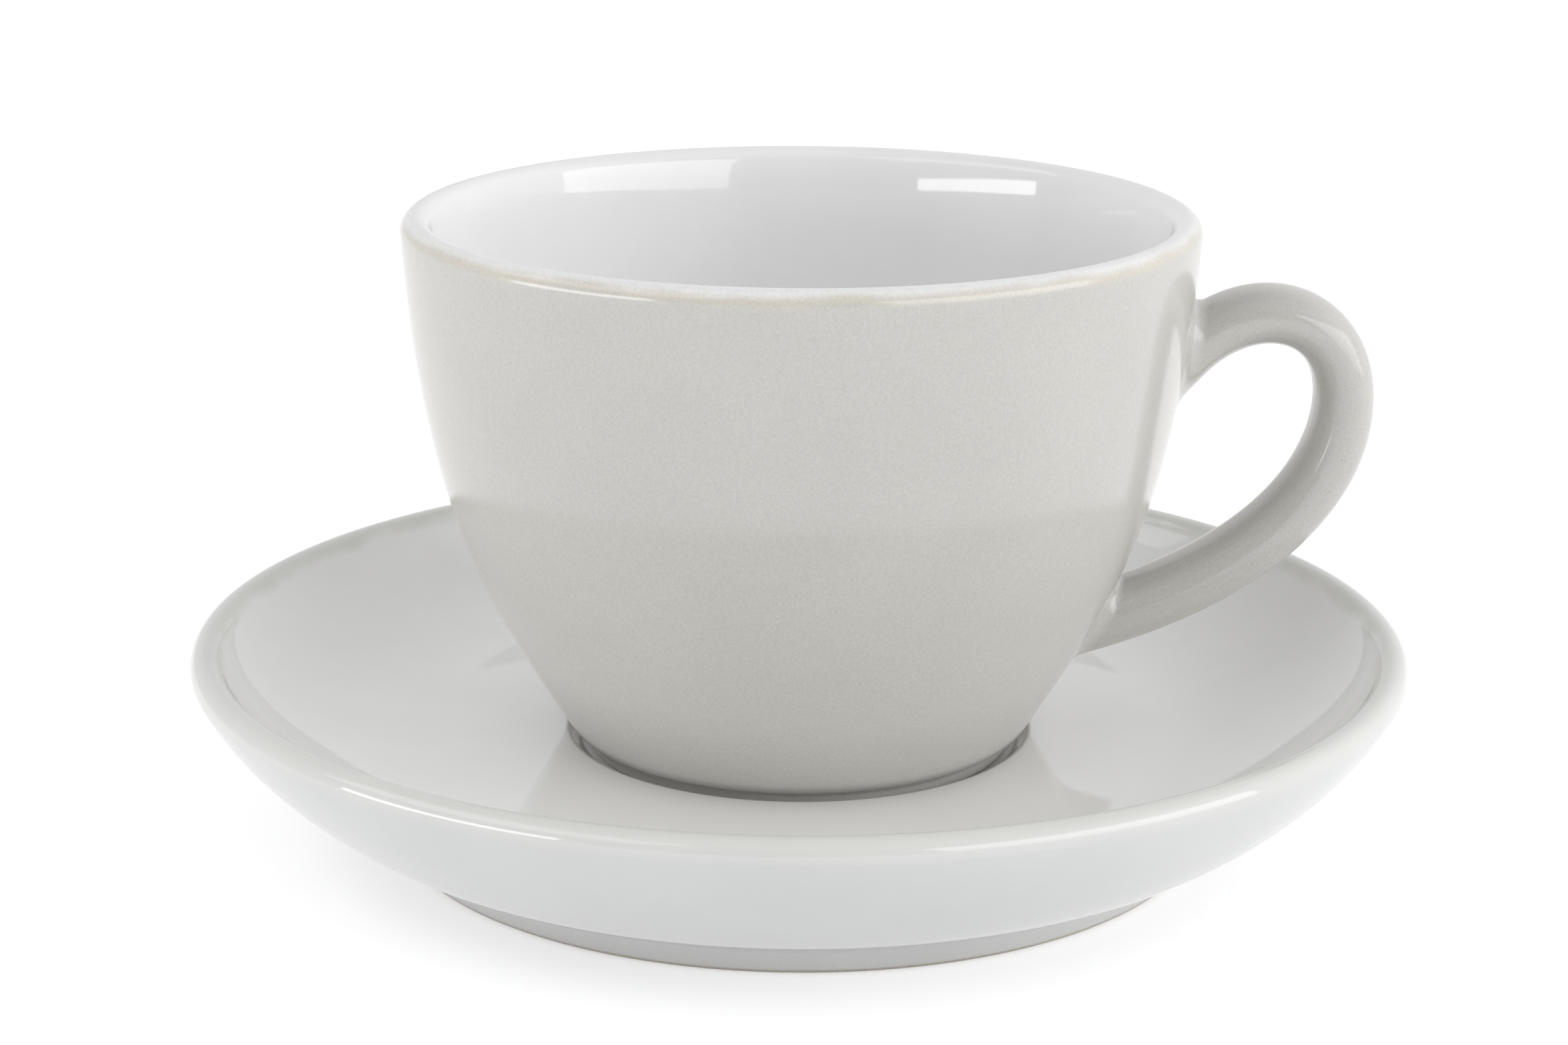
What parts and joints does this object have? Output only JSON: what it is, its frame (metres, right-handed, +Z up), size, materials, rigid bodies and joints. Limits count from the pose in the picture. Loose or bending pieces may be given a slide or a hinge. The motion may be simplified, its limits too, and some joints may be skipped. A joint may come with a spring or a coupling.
{
  "type": "cappuccino cup and saucer",
  "caption": "Round-bottomed glazed cup with a looped strap handle, standing in the shallow well of a wide dished saucer; the cup lifts off.",
  "frame": {"origin": "middle of the saucer's foot ring, on the table", "axes": "+Z up, +X from the cup's axis towards its handle, +Y to the left of the handle"},
  "size_m": [0.15, 0.15, 0.0777],
  "materials": {
    "saucer_glaze": "glossy off-white glaze, bare foot ring",
    "cup_glaze": "glossy ivory glaze outside, white inside, bare foot ring",
    "handle_glaze": "glossy ivory glaze"
  },
  "bodies": {
    "saucer": {"saucer": "saucer_glaze"},
    "cup": {"cup_body": "cup_glaze", "handle": "handle_glaze", "upper_slip_joint": "handle_glaze", "lower_slip_joint": "handle_glaze"}
  },
  "joints": [
    {"name": "cup_lift", "type": "slide", "parent": "saucer", "child": "cup", "axis": [0, 0, 1], "range_m": [0, 0.08]}
  ]
}
